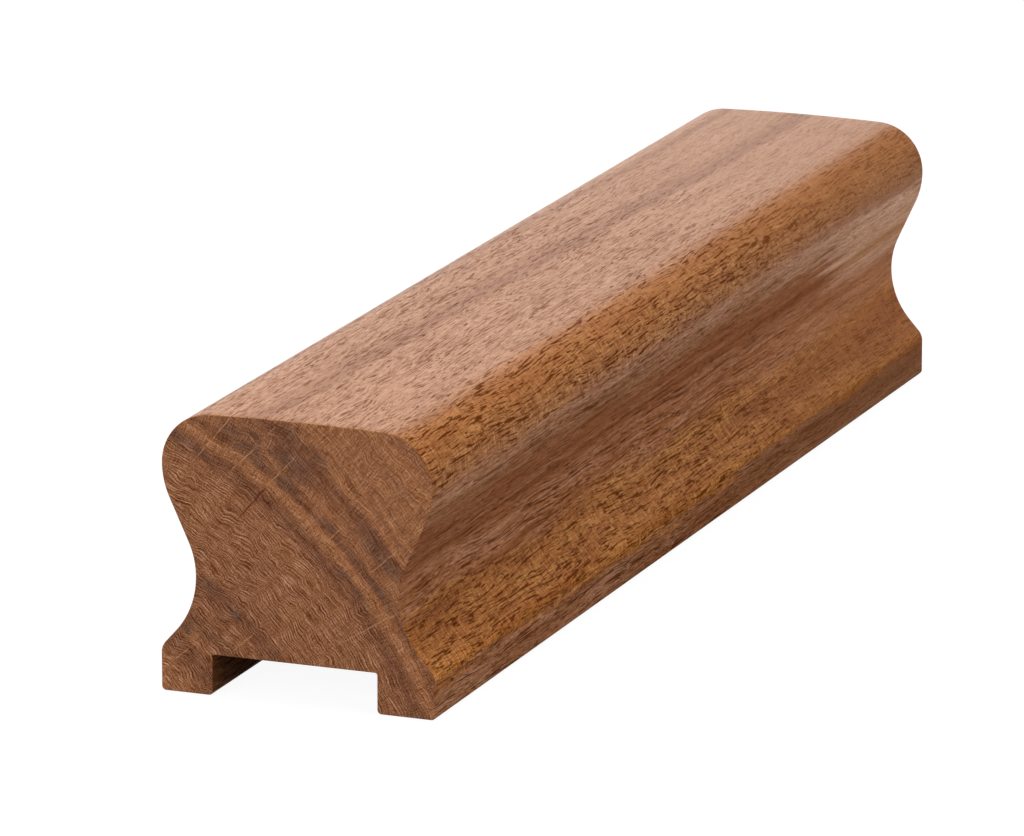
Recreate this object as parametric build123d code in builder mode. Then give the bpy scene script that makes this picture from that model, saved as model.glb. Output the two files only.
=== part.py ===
"""A short length of moulded hardwood grab rail with a groove along its underside.

Every size is in millimetres. The rail runs along Y and stands on its two feet, with its origin at the
middle of its underside. Half of its section is drawn from the crown down to the foot, as arcs and flats
that run into each other, and is mirrored, extruded and then grooved.
"""

from build123d import *
import math
import os

os.makedirs("parts", exist_ok=True)

# ---- The rail ----
rail_length = 350.0

# ---- The head, which the hand closes round ----
head_width = 69.0         # across the widest line of the head
crown_radius = 700.0      # the top is very slightly rounded across its width
shoulder_radius = 12.8    # turns the top down into the widest line

# ---- The hollow in each side, from the head's widest line down to the foot ----
undercut_height = 27.1    # widest line of the head down to the waist
undercut_flat = 11.5      # straight run between the head and the hollow
waist_width = 52.0        # across the deepest lines of the two hollows
flare_height = 17.9       # waist down to the top corner of the foot
flare_flat = 5.5          # straight run between the hollow and the foot

# ---- The two feet, one on each side of the groove ----
foot_width = 70.0         # outside to outside
foot_height = 10.9
foot_corner_radius = 4.0  # rounds the top corner of the foot

# ---- The groove for balusters or a mounting strip ----
groove_width = 42.0
groove_depth = 10.0
groove_offset = -0.8      # this rail was ploughed a little off its centre line
groove_corner_radius = 0.6

# ---- Sanded edges ----
arris_radius = 1.1        # long edges of the underside
end_arris = 0.35          # edges of the two sawn ends


def easing(step, height, flat):
    """Turn in degrees and total radius of the curves that step sideways over a height with a flat in them."""
    turn = 2 * math.degrees(math.atan2(step, height + flat))
    radius = (step**2 + height**2 - flat**2) / (2 * step)
    return turn, radius


# ---- What follows from those sizes ----
half_head = head_width / 2
half_waist = waist_width / 2
half_foot = foot_width / 2
undercut_turn, undercut_radii = easing(half_head - half_waist, undercut_height, undercut_flat)
undercut_radius = undercut_radii / 2  # the same below the head and into the hollow
flare_turn, flare_radius = easing(half_foot - half_waist, flare_height, flare_flat)
widest_height = foot_height + flare_height + undercut_height
crown_turn = math.degrees(math.asin((half_head - shoulder_radius) / (crown_radius - shoulder_radius)))
crown_rise = crown_radius - (crown_radius - shoulder_radius) * math.cos(math.radians(crown_turn))
rail_height = widest_height + crown_rise
down = (0, -1)

with BuildPart() as rail:
    # The moulded section, drawn in the plane of one end and extruded to the other.
    with BuildSketch(Plane.XZ.offset(rail_length / 2)) as section:
        with BuildLine():
            crown = JernArc((0, rail_height), (1, 0), crown_radius, -crown_turn)
            shoulder = JernArc(crown @ 1, crown % 1, shoulder_radius, crown_turn - 90)
            roll = JernArc(shoulder @ 1, down, undercut_radius, -undercut_turn)
            undercut = PolarLine(roll @ 1, undercut_flat, direction=roll % 1)
            hollow = JernArc(undercut @ 1, undercut % 1, undercut_radius, undercut_turn)
            sweep_out = JernArc(hollow @ 1, down, flare_radius, flare_turn)
            flare = PolarLine(sweep_out @ 1, flare_flat, direction=sweep_out % 1)
            foot_side = Line(flare @ 1, (half_foot, 0))
            Line(foot_side @ 1, (0, 0))
            mirror(about=Plane.YZ)
        make_face()
        fillet(section.vertices().group_by(Axis.Y)[1], foot_corner_radius)
    extrude(amount=-rail_length)

    # The groove, ploughed from end to end by a cutter with slightly rounded corners.
    with BuildSketch(Plane.XZ.offset(rail_length / 2)) as groove:
        with Locations((groove_offset, 0)):
            Rectangle(groove_width, groove_depth * 2)
        fillet(groove.vertices(), groove_corner_radius)
    extrude(amount=-rail_length, mode=Mode.SUBTRACT)

    # The long edges of the underside and the rims of the two ends are eased.
    fillet(rail.edges().filter_by(Axis.Y).group_by(Axis.Z)[0], arris_radius)
    chamfer(rail.faces().filter_by(Axis.Y).edges(), end_arris)

rail.part.label = "rail"
export_step(rail.part, "parts/rail.step")
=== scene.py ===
"""Looks of a short length of moulded hardwood grab rail, laid out as a Blender add-on.

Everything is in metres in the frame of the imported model: the rail runs along Y and stands on its feet at
z = 0. Patterns in the wood are worked out in millimetres from the Object coordinates, so the end grain and
the long faces are cut from one and the same block of wood.
"""

import math

import bpy
import numpy as np
from bpy.props import FloatProperty, FloatVectorProperty, PointerProperty
from mathutils import Color, Matrix, Vector


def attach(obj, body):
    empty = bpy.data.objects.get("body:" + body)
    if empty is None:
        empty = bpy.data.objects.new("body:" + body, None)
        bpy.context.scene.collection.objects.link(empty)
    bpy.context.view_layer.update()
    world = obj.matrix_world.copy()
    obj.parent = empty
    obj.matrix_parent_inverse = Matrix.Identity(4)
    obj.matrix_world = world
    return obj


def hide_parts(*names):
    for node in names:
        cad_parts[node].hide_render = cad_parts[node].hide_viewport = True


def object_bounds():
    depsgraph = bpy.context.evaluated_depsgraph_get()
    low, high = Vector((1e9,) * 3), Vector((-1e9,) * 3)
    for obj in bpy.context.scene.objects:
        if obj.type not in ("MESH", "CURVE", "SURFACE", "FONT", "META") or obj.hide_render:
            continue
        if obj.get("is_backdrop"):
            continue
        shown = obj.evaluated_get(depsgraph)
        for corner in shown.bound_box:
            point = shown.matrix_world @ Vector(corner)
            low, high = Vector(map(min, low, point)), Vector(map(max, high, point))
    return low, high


bl_info = {
    "name": "Grooved Hardwood Rail",
    "version": (1, 0, 0),
    "blender": (4, 5, 0),
    "location": "View3D > Sidebar > Rail",
    "description": "Models a moulded hardwood rail with its grain, pores and end grain, and a plain studio",
    "category": "Object",
}

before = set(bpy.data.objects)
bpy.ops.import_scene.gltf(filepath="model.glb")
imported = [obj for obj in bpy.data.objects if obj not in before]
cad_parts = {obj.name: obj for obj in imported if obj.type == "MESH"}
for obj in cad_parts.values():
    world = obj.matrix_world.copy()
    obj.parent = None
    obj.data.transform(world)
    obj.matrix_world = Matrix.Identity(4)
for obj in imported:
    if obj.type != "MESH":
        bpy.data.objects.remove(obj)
CAD_LOW, CAD_HIGH = (np.array(corner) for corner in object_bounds())
MM = 0.001
COAT_IOR = 1.18  # a thin wax
RIM_ROWS = 6  # rows of points round each sawn end's rim
WHITE = (1.0, 1.0, 1.0, 1.0)


# ---------------------------------------------------------------- sizes and colours


def length(name, description, millimetres):
    """A size that a user may change, shown in metres."""
    return FloatProperty(
        name=name, description=description, default=millimetres * MM, unit="LENGTH", precision=5
    )


def angle(name, description, degrees):
    """An angle that a user may change, given in degrees and kept in radians."""
    return FloatProperty(name=name, description=description, default=math.radians(degrees), subtype="ANGLE")


def amount(name, description, default):
    """A plain number that a user may change."""
    return FloatProperty(name=name, description=description, default=default)


def colour(name, description, red, green, blue):
    """A colour that a user may change."""
    return FloatVectorProperty(
        name=name, description=description, default=(red, green, blue), subtype="COLOR", min=0.0, max=1.0,
    )


class RailSizes(bpy.types.PropertyGroup):
    """The section of the moulding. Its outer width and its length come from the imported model."""

    head_width: length("Head Width", "Across the widest line of the head", 69.0)
    crown_radius: length("Crown Radius", "Rounding of the top across its width", 700.0)
    shoulder_radius: length("Shoulder Radius", "Turns the top down into the widest line", 12.8)
    undercut_height: length("Undercut Height", "Widest line of the head down to the waist", 27.1)
    undercut_flat: length("Undercut Flat", "Straight run between the head and the hollow", 11.5)
    waist_width: length("Waist Width", "Across the deepest lines of the hollows", 52.0)
    flare_height: length("Flare Height", "Waist down to the top corner of the foot", 17.9)
    flare_flat: length("Flare Flat", "Straight run between the hollow and the foot", 5.5)
    foot_height: length("Foot Height", "Underside up to the top corner of the foot", 10.9)
    foot_corner: length("Foot Corner Radius", "Rounds the top corner of the foot", 4.0)
    groove_width: length("Groove Width", "Across the groove in the underside", 42.0)
    groove_depth: length("Groove Depth", "Underside up to the floor of the groove", 10.0)
    groove_offset: length("Groove Offset", "Groove's centre line from the rail's", -0.8)
    groove_corner: length("Groove Corner Radius", "Rounding in the corners of the groove", 0.6)
    arris: length("Arris Radius", "Sanded long edges of the underside", 1.1)
    end_arris: length("End Arris", "Eased rims of the two sawn ends", 0.35)
    point_gap: length("Point Gap", "Distance between the points of the section", 0.7)
    row_gap: length("Row Gap", "Distance between sections along the rail", 2.4)
    unevenness: length("Unevenness", "How far hand sanding departs from a true surface", 0.05)


class WoodLook(bpy.types.PropertyGroup):
    """Colours and figure of the wood."""

    gold: colour("Golden Wood", "Ribbons where the grain dips into the surface", 0.324, 0.110, 0.0215)
    amber: colour("Amber", "Gold ribbon beside the foot", 0.364, 0.122, 0.0205)
    honey: colour("Honey Wood", "The crown of the rail", 0.345, 0.142, 0.053)
    mauve: colour("Mauve Wood", "Ribbon on the side of the foot", 0.30, 0.118, 0.045)
    rose: colour("Rose Wood", "Streaked ribbon under the waist", 0.38, 0.144, 0.053)
    russet: colour("Russet Wood", "Smooth ribbon in the hollow", 0.315, 0.105, 0.031)
    umber: colour("Umber Wood", "Greyish ribbon under the head", 0.355, 0.142, 0.054)
    ash: colour("Ash", "Paler wood of the hollows towards the far end", 0.60, 0.315, 0.175)
    pore: colour("Pore", "Bottom of an open pore", 0.075, 0.012, 0.0005)
    end_pale: colour("Pale End Grain", "Pale growth bands of the end grain", 0.305, 0.121, 0.048)
    end_dark: colour("Dark End Grain", "Dark growth bands of the end grain", 0.15, 0.055, 0.024)
    smoke: colour("Smoky Wood", "Dark patches of the end grain", 0.12, 0.052, 0.028)
    ray: colour("Ray", "Long rays of the end grain", 0.50, 0.245, 0.125)
    pith: FloatVectorProperty(
        name="Pith", description="Centre of the growth rings at the near end",
        default=(-0.080, -0.175, -0.048), subtype="TRANSLATION", unit="LENGTH",
    )
    line_gap: length("Line Gap", "Distance between the fine wavy lines of the end grain", 0.74)
    pith_slope: amount("Pith Slope", "Sideways drift of the pith along the rail", 0.022)


class StudioLook(bpy.types.PropertyGroup):
    """Camera, lamps and floor."""

    azimuth: angle("Azimuth", "Camera's turn from the near end towards +X", 21.58)
    elevation: angle("Elevation", "Camera's angle above the floor", 14.77)
    distance: length("Distance", "Camera from the point that it aims at", 2233.0)
    aim: FloatVectorProperty(
        name="Aim", description="Point in the middle of the picture",
        default=(-0.01214, -0.00692, 0.02767), subtype="TRANSLATION", unit="LENGTH",
    )
    lens: amount("Lens", "Focal length in millimetres", 310.9)
    top_light: amount("Top Light", "Power of the overhead softbox in watts", 24.0)
    side_light: amount("Side Light", "Power of the softbox on the right in watts", 15.0)
    front_light: amount("Front Light", "Power of the softbox behind the camera in watts", 29.0)
    back_light: amount("Back Light", "Power of the low softbox behind the rail in watts", 9.0)
    fill: amount("Fill", "Strength of the even light from all round", 0.35)


# ---------------------------------------------------------------- the section of the moulding


# Waves of the hand sanding: turns round the section, metres along the rail for one radian, and start.
SANDING_WAVES = ((3, 0.061, 0.4), (5, 0.104, 2.1), (2, 0.183, 4.0), (7, 0.037, 1.3))


def arc(centre, radius, start, end, gap):
    """Points on a circle: centre + radius * (cos t, sin t), with t from start to end, about gap apart."""
    count = max(4, int(abs(end - start) * abs(radius) / gap) + 1)
    turn = np.linspace(start, end, count)
    return np.stack([centre[0] + radius * np.cos(turn), centre[1] + radius * np.sin(turn)], axis=1)


def run(start, end, gap):
    """Points on the straight line from start to end, about gap apart, without its two ends."""
    start, end = np.asarray(start), np.asarray(end)
    count = max(1, int(np.linalg.norm(end - start) / gap))
    share = np.arange(1, count)[:, None] / count
    return start + (end - start) * share


def easing(step, height, flat):
    """Turn and total radius of curves that step sideways over a height, with a flat run in them.

    The turn is twice the angle whose tangent is step / (height + flat). The radii add up to
    (step squared + height squared - flat squared) / (2 * step).
    """
    return 2 * math.atan2(step, height + flat), (step**2 + height**2 - flat**2) / (2 * step)


def rounded_corner(before, corner, after, radius, gap):
    """The arc of a radius that touches the two straight lines before-corner and corner-after."""
    before, corner, after = (np.asarray(point) for point in (before, corner, after))
    back = (before - corner) / np.linalg.norm(before - corner)
    onward = (after - corner) / np.linalg.norm(after - corner)
    half_angle = math.acos(np.clip(back @ onward, -1, 1)) / 2
    middle = (back + onward) / np.linalg.norm(back + onward)
    centre = corner + middle * radius / math.sin(half_angle)
    first = corner + back * radius / math.tan(half_angle) - centre
    last = corner + onward * radius / math.tan(half_angle) - centre
    start = math.atan2(first[1], first[0])
    sweep = math.atan2(first[0] * last[1] - first[1] * last[0], first @ last)
    return arc(centre, radius, start, start + sweep, gap)


def rail_side(sizes, half_foot):
    """Half of the section as joined arcs and flats, from the crown's middle down to the foot's side."""
    gap = sizes.point_gap
    half_head, half_waist = sizes.head_width / 2, sizes.waist_width / 2
    waist_height = sizes.foot_height + sizes.flare_height
    widest_height = waist_height + sizes.undercut_height
    radius_step = sizes.crown_radius - sizes.shoulder_radius
    crown_turn = math.asin((half_head - sizes.shoulder_radius) / radius_step)
    crown_centre = widest_height - radius_step * math.cos(crown_turn)
    crown = arc((0, crown_centre), sizes.crown_radius, math.pi / 2, math.pi / 2 - crown_turn, gap)
    shoulder_centre = (half_head - sizes.shoulder_radius, widest_height)
    shoulder = arc(shoulder_centre, sizes.shoulder_radius, math.pi / 2 - crown_turn, 0, gap)
    turn, radii = easing(half_head - half_waist, sizes.undercut_height, sizes.undercut_flat)
    roll = arc((half_head - radii / 2, widest_height), radii / 2, 0, -turn, gap)
    hollow = arc((half_waist + radii / 2, waist_height), radii / 2, math.pi - turn, math.pi, gap)
    turn, radius = easing(half_foot - half_waist, sizes.flare_height, sizes.flare_flat)
    sweep_out = arc((half_waist + radius, waist_height), radius, math.pi, math.pi + turn, gap)
    foot_corner = (half_foot, sizes.foot_height)
    corner = rounded_corner(sweep_out[-1], foot_corner, (half_foot, 0), sizes.foot_corner, gap / 2)
    undercut = run(roll[-1], hollow[0], gap)
    flare = run(sweep_out[-1], corner[0], gap)
    return np.concatenate([crown, shoulder[1:], roll[1:], undercut, hollow, sweep_out[1:], flare, corner])


def rail_section(sizes, half_foot):
    """The closed section as points (x, z), clockwise from the near end, and which lie in the groove."""
    gap, fine = sizes.point_gap, sizes.point_gap / 3
    side = rail_side(sizes, half_foot)
    right = sizes.groove_offset + sizes.groove_width / 2
    left = sizes.groove_offset - sizes.groove_width / 2
    depth = sizes.groove_depth
    stops = [
        side[-1], (half_foot, 0), (right, 0), (right, depth), (left, depth), (left, 0), (-half_foot, 0),
        side[-1] * (-1, 1),
    ]
    arris, inside = sizes.arris, sizes.groove_corner
    radii = [arris, arris, inside, inside, arris, arris]
    corners = [rounded_corner(*stops[i:i + 3], radius, fine) for i, radius in enumerate(radii)]
    pieces, in_groove = [side, run(side[-1], corners[0][0], gap)], [False, False]
    for i, corner in enumerate(corners):
        pieces.append(corner)
        in_groove.append(i in (2, 3))
        if i < len(corners) - 1:
            pieces.append(run(corner[-1], corners[i + 1][0], gap))
            in_groove.append(1 <= i <= 3)
    mirrored = side[:0:-1] * (-1, 1)
    pieces += [run(corners[-1][-1], mirrored[0], gap), mirrored]
    in_groove += [False, False]
    flags = np.concatenate([np.full(len(piece), flag) for piece, flag in zip(pieces, in_groove)])
    return np.concatenate(pieces), flags


def outward(points):
    """Unit normals of a closed clockwise line: the step between a point's neighbours, a quarter turned."""
    step = np.roll(points, -1, axis=0) - np.roll(points, 1, axis=0)
    normal = np.stack([-step[:, 1], step[:, 0]], axis=1)
    return normal / np.linalg.norm(normal, axis=1, keepdims=True)


def sanded(around, along):
    """Shallow hand-sanding hollows, from 0 to 1: half of 1 plus the mean of a few slow sine waves."""
    total = sum(np.sin(turns * around + along / wave + start) for turns, wave, start in SANDING_WAVES)
    return 0.5 + total / (2 * len(SANDING_WAVES))


def tube_mesh(name, sections, flags):
    """A closed tube through equal sections, grid[row, point, xyz], capped by its first and last section.

    Quad faces take material 0, or 2 in the groove, and the caps with the rims beside them take material 1.
    """
    rows, count, _ = sections.shape
    row, point = np.meshgrid(np.arange(rows - 1), np.arange(count), indexing="ij")
    following = (point + 1) % count
    quads = np.stack([row * count + point, row * count + following,
                      (row + 1) * count + following, (row + 1) * count + point], axis=-1).reshape(-1, 4)
    near, far = np.arange(count)[::-1], (rows - 1) * count + np.arange(count)
    loops = np.concatenate([quads.ravel(), near, far])
    sizes = np.concatenate([np.full(len(quads), 4), [count, count]])
    mesh = bpy.data.meshes.new(name)
    mesh.vertices.add(rows * count)
    mesh.vertices.foreach_set("co", sections.reshape(-1).astype(np.float32))
    mesh.loops.add(len(loops))
    mesh.loops.foreach_set("vertex_index", loops.astype(np.int32))
    mesh.polygons.add(len(sizes))
    mesh.polygons.foreach_set("loop_start", np.concatenate([[0], np.cumsum(sizes)[:-1]]).astype(np.int32))
    groove_quad = (flags | np.roll(flags, -1))[None, :].repeat(rows - 1, axis=0)
    material = np.where(groove_quad, 2, 0)
    material[:RIM_ROWS // 2] = material[-(RIM_ROWS // 2):] = 1
    mesh.polygons.foreach_set("material_index", np.append(material.ravel(), [1, 1]).astype(np.int32))
    smooth = np.append(np.ones(len(quads), dtype=bool), [False, False])
    mesh.update(calc_edges=True)
    mesh.polygons.foreach_set("use_smooth", smooth)
    mesh.validate()
    return mesh


def rail_mesh(sizes):
    """The section carried along the rail, with quarter-round rims at the two ends.

    A rim row at angle a is set in by r * (1 - sin a) and stands r * (1 - cos a) from its end.
    """
    half_foot = (CAD_HIGH[0] - CAD_LOW[0]) / 2
    section, flags = rail_section(sizes, half_foot)
    normals = outward(section)
    angle = np.linspace(0, math.pi / 2, RIM_ROWS)
    rim_inset = sizes.end_arris * (1 - np.sin(angle))
    rim_step = sizes.end_arris * (1 - np.cos(angle))
    near, far = CAD_LOW[1], CAD_HIGH[1]
    count = int((far - near - 2 * sizes.end_arris) / sizes.row_gap)
    middle = np.linspace(near + sizes.end_arris, far - sizes.end_arris, count)
    along = np.concatenate([near + rim_step[:-1], middle, (far - rim_step[:-1])[::-1]])
    inset = np.concatenate([rim_inset[:-1], np.zeros(count), rim_inset[:-1][::-1]])
    around = np.linspace(0, 2 * math.pi, len(section), endpoint=False)
    hollow = sizes.unevenness * sanded(around[None, :], along[:, None])
    depth = (inset[:, None] + hollow)[..., None]
    flat = section[None, :, :] - normals[None, :, :] * depth
    places = np.broadcast_to(along[:, None], flat.shape[:2])
    return tube_mesh("rail_wood", np.stack([flat[..., 0], places, flat[..., 1]], axis=-1), flags)


# ---------------------------------------------------------------- wiring shader nodes


class Wiring:
    """Adds nodes to one tree. Any value may be a number, a tuple or another node's output."""

    def __init__(self, tree):
        self.tree = tree

    def feed(self, socket, value):
        """Links an output to a socket, or sets the socket's own value."""
        if isinstance(value, bpy.types.NodeSocket):
            self.tree.links.new(value, socket)
        else:
            socket.default_value = value

    def node(self, kind, values=(), **settings):
        """A node with its settings and its input values, given by name or place."""
        node = self.tree.nodes.new("ShaderNode" + kind)
        for name, setting in settings.items():
            setattr(node, name, setting)
        for key, value in dict(values).items():
            self.feed(node.inputs[key], value)
        return node

    def math(self, operation, *values):
        """One operation on numbers."""
        return self.node("Math", enumerate(values), operation=operation).outputs[0]

    def vector(self, operation, *values):
        """One operation on vectors."""
        node = self.node("VectorMath", enumerate(values[:2]), operation=operation)
        return node.outputs["Value" if operation in ("LENGTH", "DOT_PRODUCT") else "Vector"]

    def swing(self, value, strength, base=0.0):
        """The base plus the value's distance from 0.5 times a strength."""
        return self.math("MULTIPLY_ADD", self.math("SUBTRACT", value, 0.5), strength, base)

    def scaled(self, vector, factor):
        """The vector times a number."""
        return self.node("VectorMath", {0: vector, "Scale": factor}, operation="SCALE").outputs["Vector"]

    def stretch(self, vector, across, along):
        """The vector with its X and Z divided by one size and its Y by another."""
        return self.vector("DIVIDE", vector, (across, along, across))

    def combine(self, x, y, z):
        """A vector from three numbers."""
        return self.node("CombineXYZ", {"X": x, "Y": y, "Z": z}).outputs[0]

    def split(self, vector):
        """The three numbers of a vector."""
        return self.node("SeparateXYZ", {"Vector": vector}).outputs

    def noise(self, vector, scale=1.0, detail=2.0, roughness=0.5, output="Fac"):
        """Cloudy noise round 0.5, as a number or as a colour of three of them."""
        values = {"Vector": vector, "Scale": scale, "Detail": detail, "Roughness": roughness}
        return self.node("TexNoise", values).outputs[output]

    def remap(self, value, low, high, to_low=0.0, to_high=1.0, kind="SMOOTHSTEP"):
        """The value from low to high, turned into to_low to to_high and held there past both ends."""
        values = {0: value, 1: low, 2: high, 3: to_low, 4: to_high}
        return self.node("MapRange", values, interpolation_type=kind).outputs[0]

    def mix(self, factor, first, second, blend="MIX"):
        """The first colour blended with the second by a factor from 0 to 1."""
        node = self.node("Mix", {0: factor, 6: first, 7: second}, data_type="RGBA", blend_type=blend)
        return node.outputs[2]

    def curve(self, value, stops):
        """An eased curve through stops of (place, height from 0 to 1 or colour), level beyond both ends."""
        low, high = stops[0][0], stops[-1][0]
        node = self.node("ValToRGB", {0: self.remap(value, low, high, kind="LINEAR")})
        ramp = node.color_ramp
        ramp.interpolation = "EASE"
        while len(ramp.elements) < len(stops):
            ramp.elements.new(1.0)
        for element, (place, height) in zip(ramp.elements, stops):
            element.position = (place - low) / (high - low)
            element.color = (*np.broadcast_to(height, 3), 1.0)
        return node.outputs["Color"]

    def tinted(self, colour, tint):
        """The colour times a tint."""
        return self.mix(1.0, colour, tint, blend="MULTIPLY")

    def group(self, tree, **values):
        """Another group's outputs, with its inputs given by name."""
        node = self.tree.nodes.new("ShaderNodeGroup")
        node.node_tree = tree
        for name, value in values.items():
            self.feed(node.inputs[name.replace("_", " ").title()], value)
        return node.outputs


SOCKET_KINDS = {Vector: "NodeSocketVector", Color: "NodeSocketColor"}


def new_group(name, inputs, outputs):
    """An empty shader group with named sockets: its wiring, and its inputs and outputs by name.

    A socket is given with its default number, or with Vector or Color where it is one of these.
    """
    tree = bpy.data.node_groups.new(name, "ShaderNodeTree")
    for in_out, sockets in (("INPUT", inputs), ("OUTPUT", outputs)):
        for label, default in sockets.items():
            kind = SOCKET_KINDS.get(default, "NodeSocketFloat")
            socket = tree.interface.new_socket(name=label, in_out=in_out, socket_type=kind)
            if in_out == "INPUT" and default not in SOCKET_KINDS:
                socket.default_value = default
    taken = tree.nodes.new("NodeGroupInput")
    given = tree.nodes.new("NodeGroupOutput")
    return Wiring(tree), taken.outputs, given.inputs


# ---------------------------------------------------------------- the wood's shared patterns

# Growth bands from dark (0) to pale (1), by distance from the pith in millimetres.
GROWTH_BANDS = (
    (60, 0.6), (70, 0.85), (78.5, 0.1), (82, 0.65), (85.5, 0.1), (89, 0.5), (94, 0.1), (98, 0.55),
    (106, 0.6), (117, 0.63), (121.5, 0.1), (125.3, 1.0), (127.7, 0.2), (130.3, 0.7), (133, 0.4),
    (135.8, 0.0), (138.2, 1.0), (140, 0.45), (141.2, 1.0), (142.7, 0.6), (145, 0.85), (149, 0.55),
    (152, 1.0), (156, 0.5), (163, 0.7), (172, 0.4),
)
# Ribbons of interlocked grain, by height in the block in millimetres.
RIBBONS = (
    (0, "mauve"), (6.2, "mauve"), (8.7, "amber"), (20.2, "amber"), (24.7, "rose"), (36.2, "rose"),
    (39.7, "russet"), (44.2, "russet"), (47.7, "umber"), (53.2, "umber"), (56.2, "gold"),
    (66.8, "gold"), (67.8, "honey"), (76, "honey"),
)
# How bold the short open pores of each ribbon are, from 0 to 1.
BOLDNESS = {
    "mauve": 0.12, "amber": 1.0, "rose": 0.12, "russet": 0.0, "umber": 0.2, "gold": 1.0, "honey": 0.6,
}
# How strongly long thin pores show in each ribbon, from 0 to 1.
STREAKS = {
    "mauve": 1.0, "amber": 0.3, "rose": 1.0, "russet": 0.7, "umber": 0.9, "gold": 0.3, "honey": 0.35,
}
# Long pale rays of the sawn ends, from one point to another as x, z, x, z in millimetres.
LONG_RAYS = (
    (-26, 57.4, -16, 69.3), (-17.7, 54.6, -9.8, 62.4), (-8.4, 64.1, -4.5, 68),
    (-8.4, 52, 0.8, 61.6), (7.1, 40.4, 12.3, 45.3), (17.9, 33.5, 27.3, 42), (9.4, 15.4, 26, 25.6),
    (-17.5, 10.8, -10.5, 16.8), (-33, 6.5, -27, 12), (-30, 26, -24, 31),
)
# A drying check of the sawn ends, given in the same way.
DRYING_CHECK = (-15, 43.9, -7, 53.4)
# Smoky patches of the sawn ends: middle as x, z, then half thickness and half reach round the pith.
SMOKE = (
    (-16.7, 65.4, 2.6, 5), (-11.5, 64.5, 1.6, 4), (-2.1, 65.4, 2.6, 5), (-29.6, 62, 1.5, 5),
    (-24, 59.5, 1.2, 4), (-12, 61.5, 4, 10), (-1.5, 58.5, 4.5, 9), (-2.6, 53.7, 2.8, 6),
    (8.7, 44.9, 1.7, 4.5), (19.6, 41.6, 3.2, 5), (23.7, 36.6, 3.4, 5.5), (15.8, 36.6, 1.4, 8),
    (20.4, 30.8, 1.5, 8), (12.1, 33.3, 1.5, 4), (16.3, 28.3, 1.5, 5), (4.5, 60.5, 2.6, 6),
    (-16, 20.4, 2, 5), (-22, 27, 2, 5), (-28.5, 16, 2.6, 5),
)
# How well each height of the rail is burnished, from 0 to 1, by height in millimetres.
SHEEN = ((0, 0.28), (9, 0.3), (13, 1.0), (19, 0.9), (27, 0.35), (48, 0.28), (58, 1.0), (70, 1.0))
# Powers of a fibre's shade in red, green and blue, on the long faces and on the sawn ends.
LONG_SHADE_POWERS = (1.5, 2.4, 4.2)
END_SHADE_POWERS = (1.5, 2.1, 2.9)
DEEPEST_SHADE = 0.3  # no shade is darker than this
# Radius at which an angle about the pith is turned into a length along the rings.
RING_RADIUS = 115.0
# The growth bands lie up to SPREAD millimetres further out from one angle about the pith to another, and
# from one radius to another.
SPREAD_ANGLES = (math.radians(45), math.radians(57))
SPREAD_RADII = (130.0, 140.0)
SPREAD = 2.0
# How far slow, quick and leaning noise bend the grain, in millimetres.
SLOW_BEND, QUICK_BEND, LEAN = 3.5, 2.4, 3.5
# Size of the patches that blur the growth bands, outwards and round the rings, and their strength.
PATCH_SIZE = (9.0, 13.0)
PATCH_STRENGTH = 0.4
# Fine growth lines: their scale round the rings beside the one outwards, and their strength.
LINE_STRETCH, LINE_STRENGTH = 0.04, 0.6
# Vessels open where noise is above NO_VESSELS less the amount times AMOUNT_SPAN, with a soft edge.
NO_VESSELS, AMOUNT_SPAN, VESSEL_EDGE = 0.76, 0.3, 0.03
# Larger noise gathers them in clusters: its scale beside theirs, and how much it adds.
CLUSTER_SCALE, CLUSTER_PULL = 0.19, 0.22
# How far pores, those of the sawn ends and the drying check take the pore's colour.
PORE_STRENGTH, END_PORE_STRENGTH, CHECK_STRENGTH = 0.8, 0.25, 0.9
PORE_DULLING = 0.9
# A thin line's bend and tapering ends, and the widths of the two kinds, in millimetres.
LINE_WOBBLE, LINE_TAPER, RAY_WIDTH, CHECK_WIDTH = 0.7, 2.5, 0.2, 0.38
# Radii between which the wavy lines of the sawn ends calm down, and how far they wave then, in millimetres.
CALM_RADII = (118.0, 125.0)
CALM_WAVE, SLOW_WAVE = 0.6, 5.0

# How the ribbons sway, in millimetres, and how much they rise for each millimetre of x.
SLOW_SWAY, STREAK_SWAY, RIBBON_LEAN = 6.0, 7.0, -0.03
# How far streaks draw out the edge of the ash along the rail, in millimetres.
ASH_STREAKS = 60

# Ranges: from one place in millimetres, tone or noise to another, and the value at each of the two.
SWAY_BY_HEIGHT = (56, 66, 1.0, 0.2)  # the ribbons sway less towards the crown
ASH_ALONG = (70, 165, 0.0, 1.0)  # the hollows turn to ash towards the far end
ASH_LOW_EDGE = (118, 165, 45.7, 32.2)  # the height of its lower edge, by the place along the rail
ASH_LOW_SOFTNESS = (-3, 6, 0.0, 1.0)
ASH_HIGH_EDGE = (49.2, 54.2, 1.0, 0.0)
FADE_HEIGHT = 35.2  # about the middle of the hollows
FADE_ALONG = (-175, 175, 0.09, -0.09)
FADE_FROM_HEIGHT = (8, 26, -1.0, 1.35)
FIGURE_ALONG = (0, 150, 1.0, 0.5)  # figure and pores weaken towards the far end
FIGURE_BY_HEIGHT = (62, 68, 1.0, 0.5)  # and the figure weakens on the crown
BANDS_ON_LONG_FACES = (0.0, 0.5, 0.12, 0.61)  # only the dark growth bands show there
UNREST = (0.38, 0.68, 0.25, 1.25)  # how far the restless lines wave, by slow noise
WISPS = (0.3, 0.65, 0.45, 1.0)  # how dark the smoky patches are, by noise
RAY_BREAKS = (0.35, 0.6, 0.3, 0.85)  # how pale the long rays are, by noise


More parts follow.
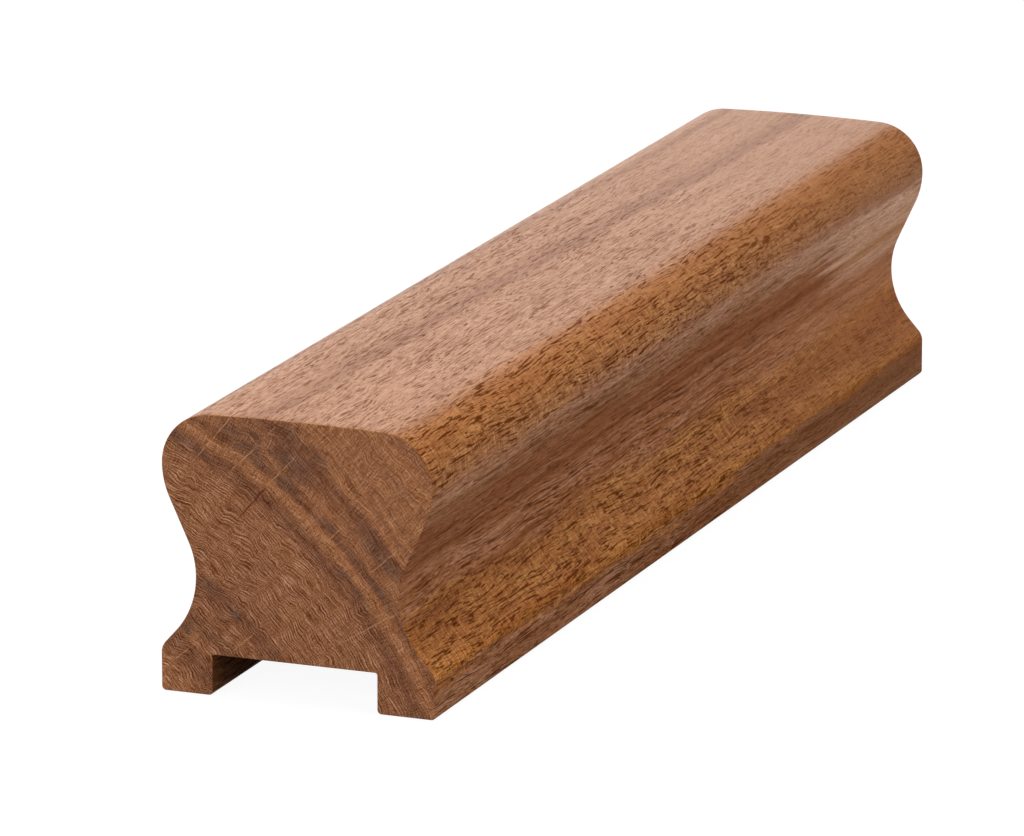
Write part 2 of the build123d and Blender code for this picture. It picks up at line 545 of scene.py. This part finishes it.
def growth_group(look):
    """Distance from the pith, arc length round it and the grain's own position, all in millimetres.

    The position is first bent by slow and by quicker noise, which is drawn out along the rail. The pith
    moves sideways with the distance along the rail, and towards the crown the bands lie further apart.
    """
    outputs = {"Radius": 0, "Around": 0, "Grain": Vector}
    wiring, taken, given = new_group("growth", {"Position": Vector}, outputs)
    position = taken["Position"]
    slow = wiring.noise(wiring.stretch(position, across=45, along=160), detail=1.0, output="Color")
    quick = wiring.noise(wiring.stretch(position, across=9, along=60), detail=2.0, output="Color")
    lean = wiring.noise(wiring.stretch(position, across=10, along=38), detail=1.0, output="Color")
    centred = [wiring.vector("SUBTRACT", bend, (0.5, 0.5, 0.5)) for bend in (slow, quick, lean)]
    bent = wiring.vector("ADD", position, wiring.scaled(centred[0], SLOW_BEND))
    bent = wiring.vector("ADD", bent, wiring.scaled(centred[1], QUICK_BEND))
    pith = [value / MM for value in look.pith]
    x, y, z = wiring.split(bent)
    drift = wiring.math("MULTIPLY", wiring.math("SUBTRACT", y, pith[1]), look.pith_slope)
    x = wiring.math("SUBTRACT", wiring.math("SUBTRACT", x, pith[0]), drift)
    z = wiring.math("SUBTRACT", z, pith[2])
    radius = wiring.vector("LENGTH", wiring.combine(x, 0.0, z))
    angle = wiring.math("ARCTAN2", z, x)
    near_crown = wiring.remap(angle, *SPREAD_ANGLES)
    spread = wiring.remap(radius, *SPREAD_RADII, 0.0, SPREAD, kind="LINEAR")
    spread = wiring.math("MULTIPLY", spread, near_crown)
    wiring.feed(given["Radius"], wiring.math("SUBTRACT", radius, spread))
    wiring.feed(given["Around"], wiring.math("MULTIPLY", angle, RING_RADIUS))
    leaning = wiring.vector("MULTIPLY", centred[2], (LEAN, 0.0, LEAN))
    wiring.feed(given["Grain"], wiring.vector("ADD", position, leaning))
    return wiring.tree


def bands_group():
    """Tone of the growth bands, 0 dark to 1 pale, with fine growth lines between them."""
    wiring, taken, given = new_group("growth_bands", {"Radius": 0, "Around": 0}, {"Tone": 0})
    broad = wiring.curve(taken["Radius"], GROWTH_BANDS)
    place = wiring.combine(taken["Radius"], taken["Around"], 0.0)
    patches = wiring.noise(wiring.vector("DIVIDE", place, (*PATCH_SIZE, 1.0)))
    lines = wiring.noise(wiring.vector("MULTIPLY", place, (1.0, LINE_STRETCH, 1.0)), scale=0.9)
    blurred = wiring.swing(patches, PATCH_STRENGTH, broad)
    wiring.feed(given["Tone"], wiring.swing(lines, LINE_STRENGTH, blurred))
    return wiring.tree


def ribbons_group(look):
    """Colour of the interlocked grain by height in the block, and how bold and how long its pores are.

    The height leans a little with x and sways with noise. Towards the far end the hollows turn to ash. The
    tone is 1 plus a slope along the rail times a factor that changes sign between the hollows, which get
    paler along the rail, and the head and the feet, which get darker.
    """
    outputs = {"Wood": Color, "Boldness": 0, "Streaks": 0}
    wiring, taken, given = new_group("ribbons", {"Position": Vector}, outputs)
    x, y, z = wiring.split(taken["Position"])
    sway = wiring.noise(wiring.stretch(taken["Position"], across=24, along=70), detail=2.0)
    streak = wiring.noise(wiring.stretch(taken["Position"], across=1.6, along=34), detail=2.0)
    swaying = wiring.swing(streak, STREAK_SWAY, wiring.swing(sway, SLOW_SWAY))
    leaning = wiring.math("MULTIPLY_ADD", x, RIBBON_LEAN, z)
    height = wiring.math("MULTIPLY_ADD", swaying, wiring.remap(z, *SWAY_BY_HEIGHT), leaning)
    wood = wiring.curve(height, [(stop, getattr(look, ribbon)) for stop, ribbon in RIBBONS])

    along = wiring.math("MULTIPLY_ADD", streak, ASH_STREAKS, y)
    above = wiring.math("SUBTRACT", height, wiring.remap(along, *ASH_LOW_EDGE))
    above = wiring.remap(above, *ASH_LOW_SOFTNESS)
    ashen = wiring.math("MULTIPLY", above, wiring.remap(height, *ASH_HIGH_EDGE))
    ashen = wiring.math("MULTIPLY", ashen, wiring.remap(along, *ASH_ALONG))
    wood = wiring.mix(ashen, wood, (*look.ash, 1.0))

    away = wiring.math("ABSOLUTE", wiring.math("SUBTRACT", height, FADE_HEIGHT))
    slope = wiring.remap(y, *FADE_ALONG, kind="LINEAR")
    tone = wiring.math("MULTIPLY_ADD", wiring.remap(away, *FADE_FROM_HEIGHT), slope, 1.0)
    wiring.feed(given["Wood"], wiring.tinted(wood, wiring.combine(tone, tone, tone)))
    for output, strength in (("Boldness", BOLDNESS), ("Streaks", STREAKS)):
        levels = [(stop, strength[ribbon]) for stop, ribbon in RIBBONS]
        wiring.feed(given[output], wiring.curve(height, levels))
    return wiring.tree


def vessels_group():
    """Mask of vessels that the surface has cut open: the peaks of noise drawn out along the grain.

    Amount lowers the height above which noise counts as a vessel, and slow noise gathers them in clusters.
    """
    inputs = {"Grain": Vector, "Across": 0.5, "Along": 6.0, "Amount": 0.3}
    wiring, taken, given = new_group("vessels", inputs, {"Mask": 0})
    cell = wiring.combine(taken["Across"], taken["Along"], taken["Across"])
    place = wiring.vector("DIVIDE", taken["Grain"], cell)
    value = wiring.noise(place, detail=2.0, roughness=0.55)
    cluster = wiring.noise(wiring.scaled(place, CLUSTER_SCALE), detail=1.0)
    edge = wiring.math("MULTIPLY_ADD", taken["Amount"], -AMOUNT_SPAN, NO_VESSELS)
    full = wiring.math("ADD", edge, VESSEL_EDGE)
    wiring.feed(given["Mask"], wiring.remap(wiring.swing(cluster, CLUSTER_PULL, value), edge, full))
    return wiring.tree


def fibres_group():
    """Noise from 0 to 1, drawn out to one length across the grain and another along it."""
    inputs = {"Grain": Vector, "Across": 0.2, "Along": 14.0, "Contrast": 2.0}
    wiring, taken, given = new_group("fibres", inputs, {"Value": 0})
    cell = wiring.combine(taken["Across"], taken["Along"], taken["Across"])
    value = wiring.noise(wiring.vector("DIVIDE", taken["Grain"], cell), detail=3.0, roughness=0.6)
    spread = wiring.swing(value, taken["Contrast"], 0.5)
    wiring.feed(given["Value"], wiring.node("Clamp", {0: spread}).outputs[0])
    return wiring.tree


def thin_line_group():
    """Mask of one thin line: how close a point's x and z come to the run from Start along Way.

    Noise bends the line a little, and it tapers off at its two ends.
    """
    inputs = {"Position": Vector, "Start": Vector, "Way": Vector, "Length": 10.0, "Width": 0.3}
    wiring, taken, given = new_group("thin_line", inputs, {"Mask": 0})
    place = wiring.stretch(taken["Position"], across=2.4, along=60)
    wobble = wiring.noise(place, detail=2.0, output="Color")
    bent = wiring.scaled(wiring.vector("SUBTRACT", wobble, (0.5, 0.5, 0.5)), LINE_WOBBLE)
    offset = wiring.vector("SUBTRACT", wiring.vector("ADD", taken["Position"], bent), taken["Start"])
    offset = wiring.vector("MULTIPLY", offset, (1.0, 0.0, 1.0))
    run = wiring.vector("DOT_PRODUCT", offset, taken["Way"])
    aside = wiring.vector("LENGTH", wiring.vector("SUBTRACT", offset, wiring.scaled(taken["Way"], run)))
    line = wiring.remap(aside, 0.0, taken["Width"], 1.0, 0.0)
    begins = wiring.remap(run, 0.0, LINE_TAPER)
    ends = wiring.remap(wiring.math("SUBTRACT", taken["Length"], run), 0.0, LINE_TAPER)
    wiring.feed(given["Mask"], wiring.math("MULTIPLY", line, wiring.math("MULTIPLY", begins, ends)))
    return wiring.tree


def smoke_group():
    """Soft mask round one place of the rings, as wide as Reach round them and as Thickness across them."""
    inputs = {"Radius": 0, "Around": 0, "Distance": 100, "Angle": 0, "Thickness": 3.0, "Reach": 6.0}
    wiring, taken, given = new_group("smoky_patch", inputs, {"Mask": 0})
    across = wiring.math("SUBTRACT", taken["Radius"], taken["Distance"])
    across = wiring.math("DIVIDE", across, taken["Thickness"])
    middle = wiring.math("MULTIPLY", taken["Angle"], RING_RADIUS)
    along = wiring.math("DIVIDE", wiring.math("SUBTRACT", taken["Around"], middle), taken["Reach"])
    away = wiring.vector("LENGTH", wiring.combine(across, along, 0.0))
    wiring.feed(given["Mask"], wiring.remap(away, 0.1, 1.0, 1.0, 0.0))
    return wiring.tree


# ---------------------------------------------------------------- materials


def new_material(name):
    """An empty node material: its wiring, its main shader and the Object position in millimetres."""
    material = bpy.data.materials.new(name)
    material.use_nodes = True
    wiring = Wiring(material.node_tree)
    shader = material.node_tree.nodes["Principled BSDF"]
    position = wiring.scaled(wiring.node("TexCoord").outputs["Object"], 1 / MM)
    return material, wiring, shader, position


def finish_surface(wiring, shader, colour_socket, coat, roughness, height, depth):
    """Feeds the main shader: bare wood under thin wax, with a bump whose full height is depth metres."""
    wiring.feed(shader.inputs["Base Color"], colour_socket)
    wiring.feed(shader.inputs["Coat Weight"], coat)
    bump = wiring.node("Bump", {"Strength": 1.0, "Distance": depth, "Height": height})
    wiring.feed(shader.inputs["Normal"], bump.outputs["Normal"])
    shader.inputs["Specular IOR Level"].default_value = 0.0
    shader.inputs["Coat IOR"].default_value = COAT_IOR
    shader.inputs["Coat Roughness"].default_value = roughness


def shaded(wiring, wood, powers, parts):
    """The wood's colour times a shade: 1 plus, for each part, its distance from 0.5 times its strength.

    Green and blue take higher powers of the shade than red, so that dark fibres are also redder.
    """
    shade = 1.0
    for value, strength in parts:
        shade = wiring.swing(value, strength, shade)
    shade = wiring.math("MAXIMUM", shade, DEEPEST_SHADE)
    return wiring.tinted(wood, wiring.combine(*(wiring.math("POWER", shade, power) for power in powers)))


def long_grain_material(name, look, groups, painted_shade_factor, roughness, pore_depth):
    """Planed or ploughed wood along the grain: ribbons, growth bands, fibres, flecks and open pores.

    The fibres and flecks fade towards the far end and on the crown, where the banded wood shows by itself.
    The coat's weight is SHEEN at the point's height, times 1 minus PORE_DULLING in a pore.
    """
    material, wiring, shader, position = new_material(name)
    radius, around, grain = wiring.group(groups["growth"], position=position)
    tone = wiring.group(groups["bands"], radius=radius, around=around)[0]
    wood, boldness, streaks = wiring.group(groups["ribbons"], position=position)

    fine = wiring.group(groups["fibres"], grain=grain, across=0.2, along=2.6, contrast=3.0)[0]
    broad = wiring.group(groups["fibres"], grain=grain, across=1.4, along=45.0, contrast=2.2)[0]
    fleck = wiring.group(groups["fibres"], grain=grain, across=3.0, along=0.7, contrast=3.0)[0]
    mottle = wiring.noise(wiring.stretch(position, across=8, along=14), detail=3.0)
    fleck = wiring.swing(fleck, boldness, 0.5)
    dark_bands = wiring.remap(tone, *BANDS_ON_LONG_FACES)
    wood = shaded(wiring, wood, LONG_SHADE_POWERS, ((dark_bands, 0.42),))
    parts = ((fine, 0.42), (broad, 0.36), (fleck, 0.42), (mottle, 0.2))
    figured = shaded(wiring, wood, LONG_SHADE_POWERS, parts)
    y, z = wiring.split(position)[1:]
    clear = wiring.remap(y, *FIGURE_ALONG)
    figure = wiring.math("MULTIPLY", clear, wiring.remap(z, *FIGURE_BY_HEIGHT))
    # The painted shade factor multiplies the whole colour: below 1 it is painted shade, which darkens the
    # inside of the groove.
    wood = wiring.tinted(wiring.mix(figure, wood, figured), (painted_shade_factor, painted_shade_factor, painted_shade_factor, 1.0))

    bold = wiring.group(groups["vessels"], grain=grain, across=0.5, along=8.0, amount=0.6)[0]
    bold = wiring.math("MULTIPLY", bold, wiring.remap(boldness, 0.1, 0.9, kind="LINEAR"))
    short = wiring.group(groups["vessels"], grain=grain, across=0.26, along=4.5, amount=0.52)[0]
    short = wiring.math("MULTIPLY", short, wiring.remap(boldness, 0.0, 0.5, 0.8, 1.0))
    long = wiring.group(groups["vessels"], grain=grain, across=0.30, along=24.0, amount=0.6)[0]
    long = wiring.math("MULTIPLY", long, streaks)
    pores = wiring.math("MAXIMUM", wiring.math("MAXIMUM", bold, short), long)
    pores = wiring.math("MULTIPLY", pores, clear)
    wood = wiring.mix(wiring.math("MULTIPLY", pores, PORE_STRENGTH), wood, (*look.pore, 1.0))

    waxed = wiring.math("MULTIPLY_ADD", pores, -PORE_DULLING, 1.0)
    coat = wiring.math("MULTIPLY", waxed, wiring.curve(z, SHEEN))
    relief = wiring.math("MULTIPLY_ADD", fine, 0.15, wiring.math("SUBTRACT", 1.0, pores))
    finish_surface(wiring, shader, wood, coat, roughness, height=relief, depth=pore_depth)
    return material


def thin_line(wiring, groups, position, segment, width):
    """Mask of a thin line from x, z to x, z."""
    start = Vector((segment[0], 0.0, segment[1]))
    way = Vector((segment[2], 0.0, segment[3])) - start
    values = {"start": start, "way": way.normalized(), "length": way.length, "width": width}
    return wiring.group(groups["thin_line"], position=position, **values)[0]


def end_grain_material(look, groups):
    """Sawn and sanded end grain: growth bands, wavy lines round the pith, rays, pores and a drying check.

    The wavy lines are a sine of the distance from the pith, which is first pushed in and out by noise that
    changes quickly round the rings and slowly outwards, so that neighbouring lines wave together. The smoky
    patches are drawn as wisps, and noise breaks up the long rays.
    """
    material, wiring, shader, position = new_material("sawn_end_grain")
    radius, around, grain = wiring.group(groups["growth"], position=position)
    tone = wiring.group(groups["bands"], radius=radius, around=around)[0]

    def pattern(outward, round_ring, distance=radius, detail=2.0, roughness=0.5):
        """Noise between 0 and 1 with one length outwards and another round the rings, in millimetres."""
        place = wiring.combine(distance, around, 0.0)
        place = wiring.vector("DIVIDE", place, (outward, round_ring, 1.0))
        return wiring.noise(place, detail=detail, roughness=roughness)

    calm = wiring.remap(radius, *CALM_RADII)

    def by_calm(restless_value, calm_value):
        """One value where the lines are restless, and another where they are calm."""
        return wiring.remap(calm, 0.0, 1.0, restless_value, calm_value)

    unrest = wiring.noise(wiring.stretch(position, across=9, along=60), detail=1.0)
    wave_size = by_calm(wiring.remap(unrest, *UNREST), CALM_WAVE)
    waved = wiring.swing(pattern(outward=7.0, round_ring=1.7, detail=1.0), wave_size, radius)
    waved = wiring.swing(pattern(outward=11.0, round_ring=9.0), SLOW_WAVE, waved)
    turns = wiring.math("MULTIPLY", waved, 2 * math.pi / look.line_gap * MM)
    even = wiring.math("MULTIPLY_ADD", wiring.math("SINE", turns), 0.5, 0.5)
    uneven = pattern(outward=0.2, round_ring=5.5, distance=waved, detail=1.0)
    rays = pattern(outward=3.0, round_ring=0.17, roughness=0.6)
    broad_rays = pattern(outward=24.0, round_ring=2.2)
    speckle = wiring.noise(wiring.stretch(position, across=0.15, along=3.0), detail=1.0)

    wood = wiring.mix(tone, (*look.end_dark, 1.0), (*look.end_pale, 1.0))
    smoke = 0.0
    for x, z, thickness, reach in SMOKE:
        x, z = x - look.pith[0] / MM, z - look.pith[2] / MM
        patch = wiring.group(
            groups["smoke"], radius=radius, around=around,
            distance=math.hypot(x, z), angle=math.atan2(z, x), thickness=thickness, reach=reach,
        )[0]
        smoke = wiring.math("MAXIMUM", smoke, patch)
    wisps = wiring.remap(pattern(outward=1.2, round_ring=6.0), *WISPS)
    wood = wiring.mix(wiring.math("MULTIPLY", smoke, wisps), wood, (*look.smoke, 1.0))
    wood = shaded(wiring, wood, END_SHADE_POWERS, (
        (even, by_calm(0.30, 0.12)), (uneven, by_calm(2.2, 1.2)), (rays, by_calm(0.9, 1.5)),
        (broad_rays, 0.25), (speckle, 1.8),
    ))

    pores = wiring.group(groups["vessels"], grain=grain, across=0.3, along=9.0, amount=0.36)[0]
    wood = wiring.mix(wiring.math("MULTIPLY", pores, END_PORE_STRENGTH), wood, (*look.pore, 1.0))
    broken = wiring.remap(pattern(outward=1.2, round_ring=2.0), *RAY_BREAKS)
    for segment in LONG_RAYS:
        mask = thin_line(wiring, groups, position, segment, RAY_WIDTH)
        wood = wiring.mix(wiring.math("MULTIPLY", mask, broken), wood, (*look.ray, 1.0))
    check = thin_line(wiring, groups, position, DRYING_CHECK, CHECK_WIDTH)
    wood = wiring.mix(wiring.math("MULTIPLY", check, CHECK_STRENGTH), wood, (*look.pore, 1.0))

    coat = wiring.math("MULTIPLY_ADD", uneven, 0.5, 0.7)
    relief = wiring.math("SUBTRACT", uneven, wiring.math("ADD", pores, check))
    finish_surface(wiring, shader, wood, coat, roughness=0.62, height=relief, depth=0.00003)
    return material


# ---------------------------------------------------------------- operators


def place_piece(name, mesh, materials):
    """A new object in the scene, at the origin, with its mesh and its materials in the faces' order."""
    piece = bpy.data.objects.new(name, mesh)
    bpy.context.scene.collection.objects.link(piece)
    for material in materials:
        mesh.materials.append(material)
    return piece


class RAIL_OT_moulding(bpy.types.Operator):
    """Build the moulded and grooved rail with its wood."""

    bl_idname = "rail.moulding"
    bl_label = "Moulded Rail"

    def execute(self, context):
        look = context.scene.wood_look
        groups = {
            "growth": growth_group(look), "bands": bands_group(), "ribbons": ribbons_group(look),
            "vessels": vessels_group(), "fibres": fibres_group(), "thin_line": thin_line_group(),
            "smoke": smoke_group(),
        }
        planed = {"painted_shade_factor": 1.0, "roughness": 0.46, "pore_depth": 0.00006}
        # The groove's wood is darkened to half: painted shade inside the groove.
        ploughed = {"painted_shade_factor": 0.5, "roughness": 0.62, "pore_depth": 0.0001}
        materials = [
            long_grain_material("planed_wood", look, groups, **planed),
            end_grain_material(look, groups),
            long_grain_material("ploughed_wood", look, groups, **ploughed),
        ]
        piece = place_piece("rail_wood", rail_mesh(context.scene.rail_sizes), materials)
        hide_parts("rail")
        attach(piece, "root")
        return {"FINISHED"}


# Each softbox: its name, its place, its width and its height in metres, and its power's setting.
SOFTBOXES = (
    ("top_softbox", (-0.3, 0.5, 1.7), 1.8, 1.8, "top_light"),
    ("side_softbox", (1.8, -0.6, 0.9), 1.2, 1.2, "side_light"),
    ("front_softbox", (-0.5, -2.2, 0.8), 1.2, 1.2, "front_light"),
    ("back_softbox", (-0.95, 1.7, 0.48), 1.6, 0.8, "back_light"),
)
LIT_POINT = (0.0, 0.0, 0.03)
FLOOR_SIZE = 12.0
FLOOR_DROP = 0.0002  # keeps the floor just clear of the rail's feet
FLOOR_GREY = (0.3, 0.3, 0.3, 1.0)
FLOOR_SHADE = (0.12, 0.12, 0.12, 1.0)  # how much of the rail's shadow the picture shows
FLOOR_GLOW = 0.93
SENSOR_WIDTH = 36.0  # millimetres


def area_light(name, place, width, height, power):
    """A softbox at a place, turned to face the rail."""
    light = bpy.data.lights.new(name, "AREA")
    light.shape = "RECTANGLE"
    light.size, light.size_y, light.energy = width, height, power
    lamp = bpy.data.objects.new(name, light)
    lamp.location = place
    lamp.rotation_euler = (Vector(LIT_POINT) - Vector(place)).to_track_quat("-Z", "Y").to_euler()
    bpy.context.scene.collection.objects.link(lamp)


def seen_directly(wiring):
    """1 for rays from the camera, from a reflection or through glass, which see the backdrop as white."""
    path = wiring.node("LightPath").outputs
    seen = wiring.math("MAXIMUM", path["Is Camera Ray"], path["Is Glossy Ray"])
    return wiring.math("MAXIMUM", seen, path["Is Transmission Ray"])


def floor_material():
    """A pale floor that the camera and reflections see as white away from the rail's shadow."""
    material = bpy.data.materials.new("studio_floor")
    material.use_nodes = True
    wiring = Wiring(material.node_tree)
    material.node_tree.nodes.remove(material.node_tree.nodes["Principled BSDF"])
    plain = wiring.node("BsdfDiffuse", {"Color": FLOOR_GREY}).outputs[0]
    bright = wiring.node("BsdfDiffuse", {"Color": FLOOR_SHADE}).outputs[0]
    glow = wiring.node("Emission", {"Color": WHITE, "Strength": FLOOR_GLOW}).outputs[0]
    shown = wiring.node("AddShader", {0: bright, 1: glow}).outputs[0]
    mixed = wiring.node("MixShader", {0: seen_directly(wiring), 1: plain, 2: shown}).outputs[0]
    wiring.feed(material.node_tree.nodes["Material Output"].inputs["Surface"], mixed)
    return material


def white_world(fill):
    """Even light from all round, seen as white by the camera and in reflections."""
    world = bpy.data.worlds.new("studio")
    world.use_nodes = True
    wiring = Wiring(world.node_tree)
    strength = wiring.remap(seen_directly(wiring), 0.0, 1.0, fill, 1.0, kind="LINEAR")
    background = world.node_tree.nodes["Background"]
    background.inputs["Color"].default_value = WHITE
    wiring.feed(background.inputs["Strength"], strength)
    return world


class RAIL_OT_studio(bpy.types.Operator):
    """Set up the pale floor, the soft lamps and the camera."""

    bl_idname = "rail.studio"
    bl_label = "Studio"

    def execute(self, context):
        studio = context.scene.studio_look
        bpy.ops.mesh.primitive_plane_add(size=FLOOR_SIZE, location=(0.0, 0.0, -FLOOR_DROP))
        floor = context.object
        floor.name = "studio_floor"
        floor.data.materials.append(floor_material())
        floor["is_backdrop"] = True
        for name, place, width, height, power in SOFTBOXES:
            area_light(name, place, width, height, getattr(studio, power))
        context.scene.world = white_world(studio.fill)

        azimuth, elevation = studio.azimuth, studio.elevation
        level = math.cos(elevation)
        back = Vector((math.sin(azimuth) * level, -math.cos(azimuth) * level, math.sin(elevation)))
        upright = back.to_track_quat("Z", "Y").to_matrix().to_4x4()
        camera = bpy.data.objects.new("camera", bpy.data.cameras.new("camera"))
        camera.data.lens = studio.lens
        camera.data.sensor_width = SENSOR_WIDTH
        camera.matrix_world = Matrix.Translation(Vector(studio.aim) + back * studio.distance) @ upright
        context.scene.collection.objects.link(camera)
        context.scene.camera = camera
        context.scene.view_settings.view_transform = "Standard"
        return {"FINISHED"}


class RAIL_PT_panel(bpy.types.Panel):
    """Lists the rail's operators and what they can be given."""

    bl_idname = "RAIL_PT_panel"
    bl_label = "Grooved Hardwood Rail"
    bl_space_type = "VIEW_3D"
    bl_region_type = "UI"
    bl_category = "Rail"

    def draw(self, context):
        for step in STEPS:
            self.layout.operator(step.bl_idname)
        for label, group in (("Rail", "rail_sizes"), ("Wood", "wood_look"), ("Studio", "studio_look")):
            box = self.layout.box()
            box.label(text=label)
            settings = getattr(context.scene, group)
            for name in settings.__annotations__:
                box.prop(settings, name)


STEPS = (RAIL_OT_moulding, RAIL_OT_studio)
CLASSES = (RailSizes, WoodLook, StudioLook, *STEPS, RAIL_PT_panel)


def register():
    for each in CLASSES:
        bpy.utils.register_class(each)
    bpy.types.Scene.rail_sizes = PointerProperty(type=RailSizes)
    bpy.types.Scene.wood_look = PointerProperty(type=WoodLook)
    bpy.types.Scene.studio_look = PointerProperty(type=StudioLook)


def unregister():
    del bpy.types.Scene.studio_look
    del bpy.types.Scene.wood_look
    del bpy.types.Scene.rail_sizes
    for each in reversed(CLASSES):
        bpy.utils.unregister_class(each)


def main():
    """Builds every piece and the stage."""
    register()
    bpy.ops.rail.moulding()
    bpy.ops.rail.studio()


if __name__ == "__main__":
    main()
